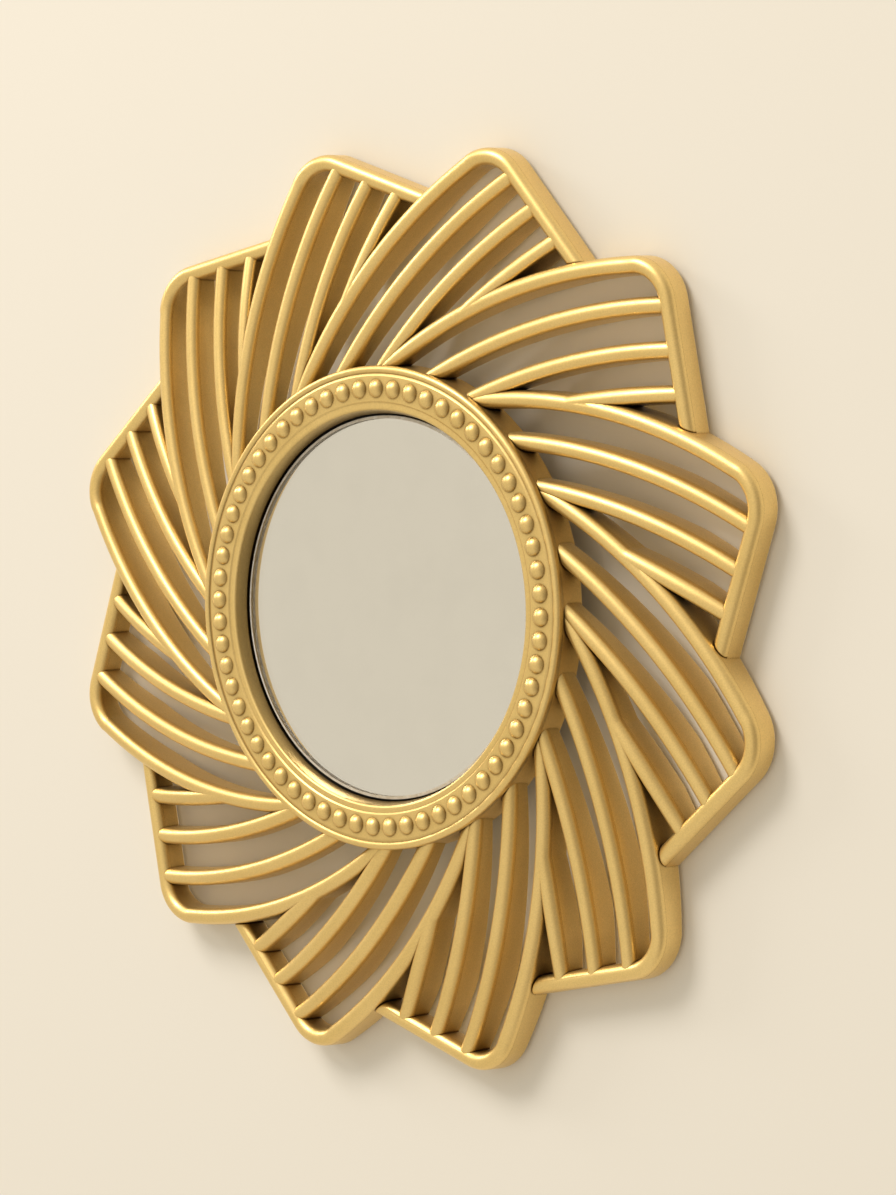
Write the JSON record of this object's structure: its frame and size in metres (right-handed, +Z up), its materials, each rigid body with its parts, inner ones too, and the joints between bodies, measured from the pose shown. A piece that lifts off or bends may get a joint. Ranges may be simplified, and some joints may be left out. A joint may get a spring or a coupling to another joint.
{
  "type": "sunburst mirror",
  "caption": "Round wall mirror in a beaded ring, with swept openwork petals that fan out around it, hung from a keyhole plate.",
  "frame": {"origin": "on the mirror's axis, in the plane of the frame's back edge, which is the wall's surface", "axes": "+Z up as it hangs, +X to the viewer's right, -Y out of the wall towards the viewer"},
  "size_m": [0.2438, 0.0183, 0.2438],
  "materials": {
    "gold_rays": "moulded, satin metallic gold paint",
    "gold_ring": "moulded, satin metallic gold paint",
    "mirror": "silvered float glass",
    "tape": "white double-sided foam tape",
    "back_plate": "black moulded sheet, fine grain",
    "screws": "zinc-plated",
    "hanger": "pressed, zinc-plated",
    "rivets": "plain"
  },
  "bodies": {
    "root": {"sunburst_rays": "gold_rays", "beaded_ring": "gold_ring", "mirror_glass": "mirror", "tape_ring": "tape", "back_plate": "back_plate", "plate_screws": "screws", "keyhole_hanger": "hanger", "hanger_rivets": "rivets"}
  },
  "joints": []
}
